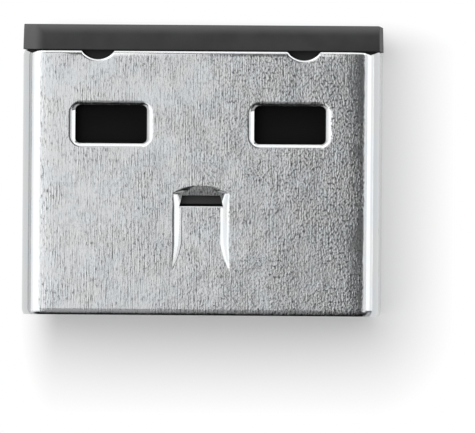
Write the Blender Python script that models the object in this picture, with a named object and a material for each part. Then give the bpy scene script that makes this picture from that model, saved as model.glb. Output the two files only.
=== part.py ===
"""Nano USB wifi adapter: a stamped USB-A plug shell with the radio board inside and a plastic end cap.

+X runs across the plug, +Y from the plug's mouth to the end cap, +Z up. The face with the pressed
tongue is on top and the seam is below. The origin lies under the middle of the adapter, on the surface
that it rests on. A distance from the mouth is called t, and y_at() turns it into y.
"""

import math

import bmesh
import bpy
from mathutils import Vector

MM = 0.001

# Plug shell
SHELL_WIDTH = 12.0 * MM
SHELL_HEIGHT = 4.5 * MM
SHELL_LENGTH = 8.86 * MM
SHEET = 0.3 * MM
CORNER_RADIUS = 0.72 * MM
EDGE_SLOPE = math.radians(40)  # of every coined edge, where it meets its cut
MOUTH_LEAD = 0.15 * MM  # width of the coined edge round the mouth
REAR_LEAD = 0.15 * MM  # and round the rear

# Retention windows, one pair above and one below, each in a drawn rim
WINDOW_WIDTH = 2.41 * MM
WINDOW_LENGTH = 1.29 * MM
WINDOW_CORNER = 0.12 * MM
WINDOW_RIM = 0.21 * MM
WINDOW_RIM_CORNER = 0.47 * MM  # at the rim's outer edge
WINDOW_SPACING = 6.0 * MM
WINDOW_T = 6.39 * MM

# Pressed tongue that locks the core: a ramp with drawn sides that sinks towards a slot
TONGUE_X = 0.04 * MM  # it lies a little to the right of the middle
TONGUE_WIDTH = 1.97 * MM
TONGUE_ROOT_T = 1.64 * MM
TONGUE_LENGTH = 1.96 * MM
TONGUE_DEPTH = 0.15 * MM
TONGUE_SIDE = 0.33 * MM  # width of each drawn side, seen from above
TONGUE_SIDE_ROUND = 0.35  # share of a side that rolls over before it runs straight
TONGUE_SIDE_FOOT = 0.25  # share that rounds into the floor
TONGUE_FULL_SIDE = 0.56  # share of the depth at which the sides have their whole width
TONGUE_SIDE_WALL = 0.05 * MM  # how far the press spreads below the sheet
SLOT_WIDTH = 1.5 * MM
SLOT_LENGTH = 0.42 * MM
SLOT_TAPER = 0.11 * MM
SLOT_BACK = 0.34 * MM  # length of the dished edge behind the slot
SLOT_BACK_DEPTH = 0.09 * MM

# Half-round notches in the rear edge
NOTCH_SPACING = 6.91 * MM
NOTCH_RADIUS = 0.68 * MM
NOTCH_DEPTH = 0.3 * MM
NOTCH_SHOULDER = 0.12 * MM
NOTCH_RIM = 0.1 * MM

# Dovetailed seam below
SEAM_GAP = 0.06 * MM
DOVETAIL_T = 3.6 * MM
DOVETAIL_NECK = 0.9 * MM
DOVETAIL_HEAD = 1.3 * MM
DOVETAIL_REACH = 0.8 * MM

# End cap
CAP_THICKNESS = 0.85 * MM
CAP_CORNER = 0.06 * MM
CAP_DRAFT = 0.02 * MM  # how much each end draws in
CAP_CROWN = 0.12 * MM  # how far the broad faces fall away
CAP_EDGE = 0.05 * MM
CAP_END_WALL = 0.4 * MM
CAP_ROOF = 0.45 * MM
SPIGOT_LENGTH = 0.7 * MM
SPIGOT_CLEARANCE = 0.03 * MM
KEY_DROP = 0.22 * MM  # how far the keys lie below the shell's outer face
KEY_CLEARANCE = 0.03 * MM

# Core, board and contacts: the tongue side of the plug
CAVITY_HEIGHT = 1.95 * MM
CORE_SETBACK = 0.35 * MM
CORE_NOSE = 0.55 * MM
CORE_CHAMFER = 0.35 * MM
CORE_SKIRT = 0.25 * MM
CORE_LEDGE = 0.4 * MM
CORE_RELIEF = 0.05 * MM  # room around and under the pressed tongue
LUG_CLEARANCE = 0.05 * MM  # between the core's locking lug and the slot
LUG_DROP = 0.08 * MM  # how far the lug stays below the sheet
LUG_ROOT = 0.1 * MM
WINDOW_POCKET_DEPTH = 0.4 * MM
WINDOW_POCKET_MARGIN = 0.2 * MM
COMPONENT_ROOM = 0.8 * MM
BOARD_THICKNESS = 0.5 * MM
BOARD_TAIL_WIDTH = 9.6 * MM
BOARD_TAIL_END_GAP = 0.05 * MM
CONTACT_WIDTH = 1.0 * MM
CONTACT_THICKNESS = 0.05 * MM
CONTACT_CORNER = 0.25 * MM
CONTACT_REAR_T = 7.4 * MM
SUPPLY_CONTACT_X = 3.5 * MM
SUPPLY_CONTACT_T = 1.4 * MM
DATA_CONTACT_X = 1.0 * MM
DATA_CONTACT_T = 2.4 * MM

SEAT_GAP = 0.02 * MM  # between pieces that touch
REACH = 0.3 * MM  # how far cutters run past the wall they cut

CORNER_SEGMENTS = 6
ROLL_SEGMENTS = 4
ARC_SEGMENTS = 10
PRESS_SEGMENTS = 6
CROWN_SEGMENTS = 4

# Places that follow from the sizes above
LENGTH = SHELL_LENGTH + SEAT_GAP + CAP_THICKNESS
BORE_WIDTH = SHELL_WIDTH - 2 * SHEET
BORE_HEIGHT = SHELL_HEIGHT - 2 * SHEET
BORE_RADIUS = CORNER_RADIUS - SHEET
BORE_TOP = SHELL_HEIGHT - SHEET
TONGUE_END_T = TONGUE_ROOT_T + TONGUE_LENGTH
SLOT_END_T = TONGUE_END_T + SLOT_LENGTH
CONTACT_FACE = SHEET + CAVITY_HEIGHT
BOARD_BOTTOM = CONTACT_FACE + CONTACT_THICKNESS + SEAT_GAP
BOARD_TOP = BOARD_BOTTOM + BOARD_THICKNESS
BOARD_WIDTH = BORE_WIDTH - 2 * (SEAT_GAP + CORE_SKIRT + SEAT_GAP)
BOARD_FRONT_T = CORE_SETBACK + CORE_NOSE + SEAT_GAP
SPIGOT_FRONT_T = SHELL_LENGTH - SPIGOT_LENGTH
CORE_REAR_T = SPIGOT_FRONT_T - SEAT_GAP
CAP_FACE_T = SHELL_LENGTH + SEAT_GAP
CAP_POCKET_END_T = LENGTH - CAP_END_WALL
PART_SEAT = BOARD_TOP + SEAT_GAP
ANTENNA_T = (SPIGOT_FRONT_T + CAP_POCKET_END_T) / 2

STEEL = ("nickel_plated_steel", (0.62, 0.63, 0.64), 0.28, 1.0)
CAP_PLASTIC = ("cap_plastic", (0.055, 0.055, 0.055), 0.45, 0.0)
CORE_PLASTIC = ("core_plastic", (0.012, 0.012, 0.012), 0.55, 0.0)
BOARD_LAMINATE = ("board_laminate", (0.015, 0.02, 0.018), 0.4, 0.0)
GILT = ("gilt_contact", (0.83, 0.61, 0.25), 0.25, 1.0)
CHIP_EPOXY = ("chip_epoxy", (0.02, 0.02, 0.022), 0.6, 0.0)
CAN_METAL = ("can_metal", (0.7, 0.68, 0.62), 0.3, 1.0)
CAPACITOR_CERAMIC = ("capacitor_ceramic", (0.42, 0.29, 0.17), 0.5, 0.0)
INDUCTOR_FERRITE = ("inductor_ferrite", (0.1, 0.1, 0.105), 0.6, 0.0)
ANTENNA_CERAMIC = ("antenna_ceramic", (0.8, 0.79, 0.74), 0.45, 0.0)

# Flat packages on the board: size, place (x, t), edge round and pin-one dimple radius, all in mm
PACKAGES = (
    ("wifi_chip", CHIP_EPOXY, (4.0, 4.0, 0.75), (0.8, 5.2), 0.03, 0.2),
    ("crystal", CAN_METAL, (2.0, 1.6, 0.5), (-3.6, 4.6), 0.08, 0.0),
    ("voltage_regulator", CHIP_EPOXY, (2.0, 2.0, 0.6), (3.95, 2.5), 0.03, 0.12),
    ("chip_antenna", ANTENNA_CERAMIC, (3.0, 0.9, 0.5), (-2.4, ANTENNA_T / MM), 0.03, 0.0),
)

# Two-terminal parts on the board: size, place (x, t) and whether it lies along the plug, in mm
SMALL = (1.0, 0.5, 0.5)
MEDIUM = (1.6, 0.8, 0.7)
TWO_TERMINAL_PARTS = (
    ("power_inductor", INDUCTOR_FERRITE, (2.0, 1.6, 0.75), (-0.9, 2.2), False),
    ("regulator_input_capacitor", CAPACITOR_CERAMIC, MEDIUM, (1.6, 1.9), False),
    ("regulator_output_capacitor", CAPACITOR_CERAMIC, MEDIUM, (4.1, 4.65), True),
    ("crystal_capacitor_left", CAPACITOR_CERAMIC, SMALL, (-4.3, 5.95), False),
    ("crystal_capacitor_right", CAPACITOR_CERAMIC, SMALL, (-2.9, 5.95), False),
    ("chip_capacitor_1", CAPACITOR_CERAMIC, SMALL, (-1.75, 3.9), True),
    ("chip_capacitor_2", CAPACITOR_CERAMIC, SMALL, (-1.75, 5.1), True),
    ("chip_capacitor_3", CAPACITOR_CERAMIC, SMALL, (3.4, 6.4), True),
    ("chip_capacitor_4", CAPACITOR_CERAMIC, SMALL, (4.4, 6.4), True),
    ("antenna_capacitor_in", CAPACITOR_CERAMIC, SMALL, (-1.75, 6.6), True),
    ("antenna_inductor", INDUCTOR_FERRITE, SMALL, (-2.9, 7.0), False),
    ("antenna_capacitor_out", CAPACITOR_CERAMIC, SMALL, (-4.3, 7.0), False),
)
TERMINAL_SHARE = 0.24  # of a part's length, for each soldered end
TERMINAL_STEP = 0.02 * MM


def y_at(t):
    return t - LENGTH / 2


def rounded_rectangle(width, height, radius, segments=CORNER_SEGMENTS):
    """Points of a rectangle with round corners, centred on the origin, counter-clockwise."""
    points = []
    for side_u, side_v, start in ((1, 1, 0), (-1, 1, 90), (-1, -1, 180), (1, -1, 270)):
        for step in range(segments + 1):
            angle = math.radians(start + 90 * step / segments)
            u = side_u * (width / 2 - radius) + radius * math.cos(angle)
            v = side_v * (height / 2 - radius) + radius * math.sin(angle)
            points.append((u, v))
    return points


def arc(centre, radius, start, end, segments=ARC_SEGMENTS):
    """Points along an arc between two angles in degrees, both ends included."""
    points = []
    for step in range(segments + 1):
        angle = math.radians(start + (end - start) * step / segments)
        points.append((centre[0] + radius * math.cos(angle), centre[1] + radius * math.sin(angle)))
    return points


def section(points, t, middle_z=SHELL_HEIGHT / 2):
    """A profile of (x, z) points set across the plug at distance t."""
    return [Vector((x, y_at(t), z + middle_z)) for x, z in points]


def level(points, z, x=0.0, t=LENGTH / 2):
    """An outline of (x, y) points laid flat at height z, with its middle at x and t."""
    return [Vector((x + u, y_at(t) + v, z)) for u, v in points]


def add_object(name, mesh):
    mesh.shade_smooth()
    mesh.set_sharp_from_angle(angle=math.radians(40))
    piece = bpy.data.objects.new(name, mesh)
    bpy.context.scene.collection.objects.link(piece)
    return piece


def loft(name, loops, ring=False):
    """A solid skinned over loops of equal length. A ring closes on itself, else both ends are capped."""
    shape = bmesh.new()
    rows = [[shape.verts.new(point) for point in loop] for loop in loops]
    pairs = list(zip(rows, rows[1:]))
    if ring:
        pairs.append((rows[-1], rows[0]))
    else:
        shape.faces.new(rows[0])
        shape.faces.new(rows[-1])
    for near, far in pairs:
        for i in range(len(near)):
            k = (i + 1) % len(near)
            shape.faces.new((near[i], near[k], far[k], far[i]))
    bmesh.ops.recalc_face_normals(shape, faces=shape.faces)
    mesh = bpy.data.meshes.new(name)
    shape.to_mesh(mesh)
    shape.free()
    return add_object(name, mesh)


def box(name, x_range, t_range, z_range):
    """A block between two limits on each axis."""
    (x0, x1), (t0, t1) = x_range, t_range
    outline = [(x0, y_at(t0)), (x1, y_at(t0)), (x1, y_at(t1)), (x0, y_at(t1))]
    return loft(name, [[Vector((x, y, z)) for x, y in outline] for z in z_range])


def apply_boolean(piece, tool, operation):
    modifier = piece.modifiers.new(tool.name, "BOOLEAN")
    modifier.operation = operation
    modifier.object = tool
    tool.hide_render = True
    tool.display_type = "WIRE"


def cut(piece, tool):
    apply_boolean(piece, tool, "DIFFERENCE")


def join(piece, tool):
    apply_boolean(piece, tool, "UNION")


def finish(piece, look, parent):
    """Gives a piece its material and hangs it on the adapter."""
    name, colour, roughness, metallic = look
    material = bpy.data.materials.get(name)
    if material is None:
        material = bpy.data.materials.new(name)
        material.use_nodes = True
        shader = material.node_tree.nodes["Principled BSDF"]
        shader.inputs["Base Color"].default_value = (*colour, 1.0)
        shader.inputs["Roughness"].default_value = roughness
        shader.inputs["Metallic"].default_value = metallic
        material.diffuse_color = (*colour, 1.0)
    piece.data.materials.clear()
    piece.data.materials.append(material)
    piece.parent = parent


def shell_loop(inset, t):
    """The shell's outline drawn in by inset, at distance t."""
    width = SHELL_WIDTH - 2 * inset
    height = SHELL_HEIGHT - 2 * inset
    return section(rounded_rectangle(width, height, CORNER_RADIUS - inset), t)


def coined_edge(width):
    """A rounded edge from its cut to the flat, as pairs of distance from the cut and drop."""
    radius = width / math.sin(EDGE_SLOPE)
    angles = [EDGE_SLOPE * (1 - step / ROLL_SEGMENTS) for step in range(ROLL_SEGMENTS + 1)]
    return [(width - radius * math.sin(angle), radius * (1 - math.cos(angle))) for angle in angles]


def rolled_shell():
    """The plain tube of sheet, with a coined edge round its mouth and its rear."""
    loops = [shell_loop(drop, run) for run, drop in coined_edge(MOUTH_LEAD)]
    for run, drop in reversed(coined_edge(REAR_LEAD)):
        loops.append(shell_loop(drop, SHELL_LENGTH - run))
    loops.append(shell_loop(SHEET, SHELL_LENGTH))
    loops.append(shell_loop(SHEET, 0))
    return loft("plug_shell", loops, ring=True)


def flared_cutter(name, outline, outer, inner, rim, x, t):
    """A cutter through a wall that coins the wall's outer edge. outline(grow) is the opening, grown."""
    out = 1 if outer > inner else -1
    loops = [level(outline(0), inner - out * REACH, x, t)]
    for run, drop in coined_edge(rim):
        loops.append(level(outline(run), outer - out * drop, x, t))
    loops.append(level(outline(rim), outer + out * REACH, x, t))
    return loft(name, loops)


def window_outline(grow):
    """A window's opening, or its rim where it is grown, which has rounder corners."""
    corner = WINDOW_CORNER + (WINDOW_RIM_CORNER - WINDOW_CORNER) * grow / WINDOW_RIM
    return rounded_rectangle(WINDOW_WIDTH + 2 * grow, WINDOW_LENGTH + 2 * grow, corner)


def notch_outline(grow):
    """A notch in the rear edge, seen from above with the edge along v = 0 and the sheet at v < 0."""
    centre_v = NOTCH_RADIUS - NOTCH_DEPTH
    shoulder_u = math.sqrt(
        (NOTCH_RADIUS + NOTCH_SHOULDER) ** 2 - (NOTCH_SHOULDER + centre_v) ** 2
    )
    turn = math.degrees(math.atan2(NOTCH_SHOULDER + centre_v, shoulder_u))
    shoulder = NOTCH_SHOULDER - grow
    left = arc((-shoulder_u, -NOTCH_SHOULDER), shoulder, 90, turn)
    bottom = arc((0, centre_v), NOTCH_RADIUS + grow, 180 + turn, 360 - turn)
    right = arc((shoulder_u, -NOTCH_SHOULDER), shoulder, 180 - turn, 90)
    return [(-shoulder_u, REACH), *left, *bottom, *right, (shoulder_u, REACH)]


def tongue_stations():
    """Distance, depth, half width and side along the press: a ramp, the slot's length, a dished edge."""
    half = TONGUE_WIDTH / 2
    stations = []
    for step in range(-1, PRESS_SEGMENTS + 1):
        share = step / PRESS_SEGMENTS
        depth = TONGUE_DEPTH * (1 - (1 - share) ** 2)
        fullness = min(max(depth / (TONGUE_FULL_SIDE * TONGUE_DEPTH), 0.1), 1.0)
        stations.append((TONGUE_ROOT_T + TONGUE_LENGTH * share, depth, half, TONGUE_SIDE * fullness))
    for step in range(PRESS_SEGMENTS):
        share = step / PRESS_SEGMENTS
        depth = SLOT_BACK_DEPTH * (1 - share) ** 1.6
        wide = half * math.sqrt(1 - share**2)
        stations.append((SLOT_END_T + SLOT_BACK * share, depth, wide, wide / 2))
    stations.append((SLOT_END_T + SLOT_BACK, -SLOT_BACK_DEPTH / 10, half / 5, half / 10))
    return stations


def press_loop(t, depth, half, side, face, reach):
    """A section of the press below a face of the sheet: sides that roll over and run down to a floor."""
    bend, foot = TONGUE_SIDE_ROUND, TONGUE_SIDE_FOOT
    right = [(half, face + reach)]
    for step in range(PRESS_SEGMENTS + 1):
        share = step / PRESS_SEGMENTS
        rolled, ended = min(share, bend), max(share - 1 + foot, 0)
        sink = rolled**3 / (3 * bend**2) + share - rolled - ended**2 / (2 * foot)
        right.append((half - side * share, face - depth * sink / (1 - bend * 2 / 3 - foot / 2)))
    left = [(TONGUE_X - x, z) for x, z in right]
    return section(left + [(TONGUE_X + x, z) for x, z in right[::-1]], t, 0)


def slot_outline(inset):
    """The slot at the tongue's free end, drawn in by inset. It narrows away from the tongue."""
    half = SLOT_WIDTH / 2 - inset
    front = y_at(TONGUE_END_T + inset)
    rear = y_at(SLOT_END_T - inset)
    half_rear = half - SLOT_TAPER
    outline = [(-half, front), (half, front), (half_rear, rear), (-half_rear, rear)]
    return [(TONGUE_X + x, y) for x, y in outline]


def slot_prism(name, inset, heights):
    return loft(name, [[Vector((x, y, z)) for x, y in slot_outline(inset)] for z in heights])


def press_tongue(shell):
    """Sinks the tongue into the upper wall and cuts the slot at its free end."""
    underside, hollow = [], []
    for t, depth, half, side in tongue_stations():
        underside.append(press_loop(t, depth, half + TONGUE_SIDE_WALL, side, BORE_TOP, SHEET / 2))
        hollow.append(press_loop(t, depth, half, side, SHELL_HEIGHT, REACH))
    join(shell, loft("tongue_underside", underside))
    cut(shell, loft("tongue_hollow", hollow))
    cut(shell, slot_prism("tongue_slot", 0, (BORE_TOP - TONGUE_DEPTH - REACH, SHELL_HEIGHT + REACH)))


def ribbon(path, width):
    """The outline of a band of that width along a path, with mitred corners."""
    points = [Vector(point) for point in path]
    left, right = [], []
    for i, point in enumerate(points):
        before = (point - points[max(i - 1, 0)]).normalized()
        after = (points[min(i + 1, len(points) - 1)] - point).normalized()
        along = (before + after).normalized()
        normal = Vector((-along.y, along.x))
        square = Vector((-after.y, after.x)) if after.length else Vector((-before.y, before.x))
        offset = normal * (width / 2 / normal.dot(square))
        left.append(point + offset)
        right.append(point - offset)
    return left + right[::-1]


def seam_cutter():
    """The hairline gap where the two edges of the sheet meet, with one dovetail."""
    neck = DOVETAIL_NECK / 2
    head = DOVETAIL_HEAD / 2
    path = [
        (0, y_at(-REACH)),
        (0, y_at(DOVETAIL_T - neck)),
        (DOVETAIL_REACH, y_at(DOVETAIL_T - head)),
        (DOVETAIL_REACH, y_at(DOVETAIL_T + head)),
        (0, y_at(DOVETAIL_T + neck)),
        (0, y_at(SHELL_LENGTH + REACH)),
    ]
    outline = ribbon(path, SEAM_GAP)
    return loft("seam", [[Vector((x, y, z)) for x, y in outline] for z in (-REACH, SHEET + REACH)])


def make_shell(parent):
    shell = rolled_shell()
    press_tongue(shell)
    for side, hand in ((-1, "left"), (1, "right")):
        x = side * WINDOW_SPACING / 2
        for outer, inner, face in ((SHELL_HEIGHT, BORE_TOP, "upper"), (0, SHEET, "lower")):
            name = f"{face}_{hand}_window"
            cut(shell, flared_cutter(name, window_outline, outer, inner, WINDOW_RIM, x, WINDOW_T))
        x = side * NOTCH_SPACING / 2
        name = f"{hand}_notch"
        cut(shell, flared_cutter(name, notch_outline, SHELL_HEIGHT, BORE_TOP, NOTCH_RIM, x, SHELL_LENGTH))
    cut(shell, seam_cutter())
    finish(shell, STEEL, parent)


def cap_loop(inset, t):
    """The cap's outline at distance t, narrowed by its draft and crown and drawn in by inset."""
    share = (t - CAP_FACE_T) / CAP_THICKNESS
    width = SHELL_WIDTH - 2 * (CAP_DRAFT * share + inset)
    height = SHELL_HEIGHT - 2 * (CAP_CROWN * share**3 + inset)
    return section(rounded_rectangle(width, height, CAP_CORNER - inset), t)


def cap_key(name, x):
    """A half-round key that fills a notch of the shell and roots in the cap."""
    radius = NOTCH_RADIUS - KEY_CLEARANCE
    centre_v = NOTCH_RADIUS - NOTCH_DEPTH
    root_v = SEAT_GAP + CAP_EDGE
    start = math.degrees(math.asin((root_v - centre_v) / radius))
    outline = arc((0, centre_v), radius, 180 - start, 360 + start)
    heights = (BORE_TOP - CAP_ROOF, SHELL_HEIGHT - KEY_DROP)
    return loft(name, [level(outline, z, x, SHELL_LENGTH) for z in heights])


def make_end_cap(parent):
    loops = [cap_loop(CAP_EDGE / 2, CAP_FACE_T)]
    crown_t = CAP_FACE_T + CAP_EDGE / 2
    for step in range(CROWN_SEGMENTS):
        loops.append(cap_loop(0, crown_t + (LENGTH - CAP_EDGE - crown_t) * step / CROWN_SEGMENTS))
    for step in range(ROLL_SEGMENTS + 1):
        angle = math.pi / 2 * step / ROLL_SEGMENTS
        t = LENGTH - CAP_EDGE * (1 - math.sin(angle))
        loops.append(cap_loop(CAP_EDGE * (1 - math.cos(angle)), t))
    cap = loft("end_cap", loops)
    clearance = SPIGOT_CLEARANCE
    outline = rounded_rectangle(BORE_WIDTH - 2 * clearance, BORE_HEIGHT - 2 * clearance, BORE_RADIUS)
    spigot = [section(outline, t) for t in (SPIGOT_FRONT_T, CAP_FACE_T + CAP_THICKNESS / 2)]
    join(cap, loft("spigot", spigot))
    for side, hand in ((-1, "left"), (1, "right")):
        join(cap, cap_key(f"{hand}_key", side * NOTCH_SPACING / 2))
    half = BOARD_TAIL_WIDTH / 2 + SPIGOT_CLEARANCE
    pocket_z = (BOARD_BOTTOM - SEAT_GAP, BORE_TOP - CAP_ROOF)
    cut(cap, box("tail_pocket", (-half, half), (SPIGOT_FRONT_T - REACH, CAP_POCKET_END_T), pocket_z))
    finish(cap, CAP_PLASTIC, parent)


def make_core(parent):
    """The plastic tongue: a tray over the board, with a nose before it and relief below the openings."""
    top = BORE_TOP - SEAT_GAP
    profile = [
        (CORE_SETBACK + CORE_CHAMFER, CONTACT_FACE),
        (CORE_REAR_T, CONTACT_FACE),
        (CORE_REAR_T, top),
        (CORE_SETBACK, top),
        (CORE_SETBACK, CONTACT_FACE + CORE_CHAMFER),
    ]
    sides = (-SHELL_WIDTH, SHELL_WIDTH)
    core = loft("core", [[Vector((x, y_at(t), z)) for t, z in profile] for x in sides])
    bore = rounded_rectangle(BORE_WIDTH - 2 * SEAT_GAP, BORE_HEIGHT - 2 * SEAT_GAP, BORE_RADIUS)
    apply_boolean(core, loft("bore", [section(bore, t) for t in (-REACH, LENGTH)]), "INTERSECT")
    half_board = BOARD_WIDTH / 2 + SEAT_GAP
    nose_t = CORE_SETBACK + CORE_NOSE
    rebate_z = (CONTACT_FACE - REACH, BOARD_TOP + SEAT_GAP)
    cut(core, box("board_rebate", (-half_board, half_board), (nose_t, LENGTH), rebate_z))
    half_room = half_board - CORE_LEDGE
    room_t = (nose_t + CORE_LEDGE, CORE_REAR_T - CORE_LEDGE)
    cut(core, box("part_room", (-half_room, half_room), room_t, (BOARD_TOP, PART_SEAT + COMPONENT_ROOM)))
    half_relief = TONGUE_WIDTH / 2 + TONGUE_SIDE_WALL + CORE_RELIEF
    relief_t = (TONGUE_ROOT_T, SLOT_END_T + SLOT_BACK + CORE_RELIEF)
    relief_z = (BORE_TOP - TONGUE_DEPTH - CORE_RELIEF, SHELL_HEIGHT)
    relief_x = (TONGUE_X - half_relief, TONGUE_X + half_relief)
    cut(core, box("tongue_relief", relief_x, relief_t, relief_z))
    join(core, slot_prism("locking_lug", LUG_CLEARANCE, (relief_z[0] - LUG_ROOT, BORE_TOP - LUG_DROP)))
    pocket_width = WINDOW_WIDTH + 2 * WINDOW_POCKET_MARGIN
    pocket_length = WINDOW_LENGTH + 2 * WINDOW_POCKET_MARGIN
    pocket = rounded_rectangle(pocket_width, pocket_length, WINDOW_POCKET_MARGIN)
    for side, hand in ((-1, "left"), (1, "right")):
        heights = (BORE_TOP - WINDOW_POCKET_DEPTH, SHELL_HEIGHT)
        loops = [level(pocket, z, side * WINDOW_SPACING / 2, WINDOW_T) for z in heights]
        cut(core, loft(f"{hand}_window_pocket", loops))
    finish(core, CORE_PLASTIC, parent)


def make_board(parent):
    """The board, as wide as the core's rebate, with a narrower tail that reaches into the cap."""
    half = BOARD_WIDTH / 2
    half_tail = BOARD_TAIL_WIDTH / 2
    tail_t = CAP_POCKET_END_T - BOARD_TAIL_END_GAP
    outline = [
        (-half, BOARD_FRONT_T),
        (half, BOARD_FRONT_T),
        (half, CORE_REAR_T),
        (half_tail, CORE_REAR_T),
        (half_tail, tail_t),
        (-half_tail, tail_t),
        (-half_tail, CORE_REAR_T),
        (-half, CORE_REAR_T),
    ]
    loops = [[Vector((x, y_at(t), z)) for x, t in outline] for z in (BOARD_BOTTOM, BOARD_TOP)]
    finish(loft("circuit_board", loops), BOARD_LAMINATE, parent)


def make_contacts(parent):
    """Four gilt contacts under the board. The two supply contacts reach further to the mouth."""
    contacts = (
        ("contact_vbus", -SUPPLY_CONTACT_X, SUPPLY_CONTACT_T),
        ("contact_data_minus", -DATA_CONTACT_X, DATA_CONTACT_T),
        ("contact_data_plus", DATA_CONTACT_X, DATA_CONTACT_T),
        ("contact_ground", SUPPLY_CONTACT_X, SUPPLY_CONTACT_T),
    )
    for name, x, front_t in contacts:
        outline = rounded_rectangle(CONTACT_WIDTH, CONTACT_REAR_T - front_t, CONTACT_CORNER)
        middle_t = (CONTACT_REAR_T + front_t) / 2
        heights = (CONTACT_FACE, CONTACT_FACE + CONTACT_THICKNESS)
        finish(loft(name, [level(outline, z, x, middle_t) for z in heights]), GILT, parent)


def package(name, look, size, place, edge, dimple, parent):
    """A flat package with rounded edges on its upper face and, if it has one, a pin-one dimple."""
    length, width, height = size
    lower = rounded_rectangle(length, width, edge, 2)
    upper = rounded_rectangle(length - 2 * edge, width - 2 * edge, edge / 2, 2)
    loops = []
    for outline, z in ((lower, 0), (lower, height - edge), (upper, height)):
        loops.append([Vector((u, v, z)) for u, v in outline])
    piece = loft(name, loops)
    if dimple:
        corner = (3 * dimple - length / 2, width / 2 - 3 * dimple)
        ring = arc(corner, dimple, 0, 330, 11)
        depths = (height - edge, height + edge)
        mark = loft(f"{name}_mark", [[Vector((u, v, z)) for u, v in ring] for z in depths])
        mark.parent = piece
        cut(piece, mark)
    piece.location = Vector((place[0], y_at(place[1]), PART_SEAT))
    finish(piece, look, parent)


def two_terminal(name, look, size, place, turned, parent):
    """A small block with a thicker soldered end at each side. Turned parts lie along the plug."""
    length, width, height = size
    end = length / 2
    neck = end - TERMINAL_SHARE * length
    loops = []
    for u, inset in (
        (-end, 0),
        (-neck, 0),
        (TERMINAL_STEP - neck, TERMINAL_STEP),
        (neck - TERMINAL_STEP, TERMINAL_STEP),
        (neck, 0),
        (end, 0),
    ):
        half = width / 2 - inset
        high = height - inset
        outline = ((-half, inset), (half, inset), (half, high), (-half, high))
        loops.append([Vector((u, v, z)) for v, z in outline])
    piece = loft(name, loops)
    piece.rotation_euler.z = math.pi / 2 if turned else 0.0
    piece.location = Vector((place[0], y_at(place[1]), PART_SEAT))
    finish(piece, look, parent)


def make_components(parent):
    for name, look, size, place, edge, dimple in PACKAGES:
        size = [value * MM for value in size]
        place = [value * MM for value in place]
        package(name, look, size, place, edge * MM, dimple * MM, parent)
    for name, look, size, place, turned in TWO_TERMINAL_PARTS:
        size = [value * MM for value in size]
        place = [value * MM for value in place]
        two_terminal(name, look, size, place, turned, parent)


def main():
    for old in list(bpy.data.objects):
        bpy.data.objects.remove(old)
    adapter = bpy.data.objects.new("adapter", None)
    bpy.context.scene.collection.objects.link(adapter)
    make_shell(adapter)
    make_end_cap(adapter)
    make_core(adapter)
    make_board(adapter)
    make_contacts(adapter)
    make_components(adapter)


main()
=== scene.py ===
import math

import bmesh
import bpy
from mathutils import Matrix, Vector


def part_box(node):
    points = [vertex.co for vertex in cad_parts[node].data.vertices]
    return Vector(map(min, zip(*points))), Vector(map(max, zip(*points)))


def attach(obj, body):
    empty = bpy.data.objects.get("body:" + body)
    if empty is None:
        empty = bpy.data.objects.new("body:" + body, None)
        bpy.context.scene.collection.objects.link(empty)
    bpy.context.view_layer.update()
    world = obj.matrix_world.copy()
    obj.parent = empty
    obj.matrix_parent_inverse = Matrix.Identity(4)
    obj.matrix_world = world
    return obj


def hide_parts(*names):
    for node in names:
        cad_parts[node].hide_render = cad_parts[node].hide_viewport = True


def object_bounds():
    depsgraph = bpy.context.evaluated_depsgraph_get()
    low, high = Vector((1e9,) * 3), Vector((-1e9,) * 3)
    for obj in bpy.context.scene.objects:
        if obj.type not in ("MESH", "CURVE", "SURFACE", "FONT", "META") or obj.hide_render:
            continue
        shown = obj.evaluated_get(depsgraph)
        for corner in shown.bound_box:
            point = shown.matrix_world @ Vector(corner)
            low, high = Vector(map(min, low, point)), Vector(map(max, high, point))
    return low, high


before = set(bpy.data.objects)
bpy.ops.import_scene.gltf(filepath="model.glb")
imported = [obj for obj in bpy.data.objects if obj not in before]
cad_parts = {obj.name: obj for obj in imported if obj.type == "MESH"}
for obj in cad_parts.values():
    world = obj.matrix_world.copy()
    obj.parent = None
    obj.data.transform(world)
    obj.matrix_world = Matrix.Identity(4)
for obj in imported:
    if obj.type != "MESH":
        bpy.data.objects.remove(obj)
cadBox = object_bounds()
scene = bpy.context.scene
mm = 0.001  # metres


# Shapes

def roundedRect(width, height, radius, steps=8):
    points = []
    for sideU, sideV, start in ((1, 1, 0), (-1, 1, 90), (-1, -1, 180), (1, -1, 270)):
        for step in range(steps + 1):
            angle = math.radians(start + 90 * step / steps)
            points.append((sideU * (width / 2 - radius) + radius * math.cos(angle),
                           sideV * (height / 2 - radius) + radius * math.sin(angle)))
    return points


def easedRect(width, height, radius, ease, lean, slowSteps=4, bendSteps=14):  # corners of rolled sheet
    turn = math.radians(lean)
    sink = ease * math.tan(turn) / 2
    slow = [(step / slowSteps * ease, sink * (step / slowSteps) ** 2) for step in range(slowSteps)]
    middle = -sink - radius * math.cos(turn)
    start = middle + radius * math.sin(turn) - ease
    bend = arc((middle, middle), radius, lean, 90 - lean, bendSteps)
    corner = [(-dip, start + run) for run, dip in slow] + bend
    corner += [(start + run, -dip) for run, dip in slow[::-1]]
    points = []
    for sideU, sideV in ((1, 1), (-1, 1), (-1, -1), (1, -1)):
        turned = [(sideU * (width / 2 + u), sideV * (height / 2 + v)) for u, v in corner]
        points += turned if sideU == sideV else turned[::-1]
    return points


def arc(centre, radius, start, end, steps):
    points = []
    for step in range(steps + 1):
        angle = math.radians(start + (end - start) * step / steps)
        points.append((centre[0] + radius * math.cos(angle), centre[1] + radius * math.sin(angle)))
    return points


def across(points, y, z=0.0):  # a profile of x and z, square to the plug
    return [Vector((u, y, z + v)) for u, v in points]


def flat(points, z, x=0.0, y=0.0):  # an outline of x and y, laid level
    return [Vector((x + u, y + v, z)) for u, v in points]


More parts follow.
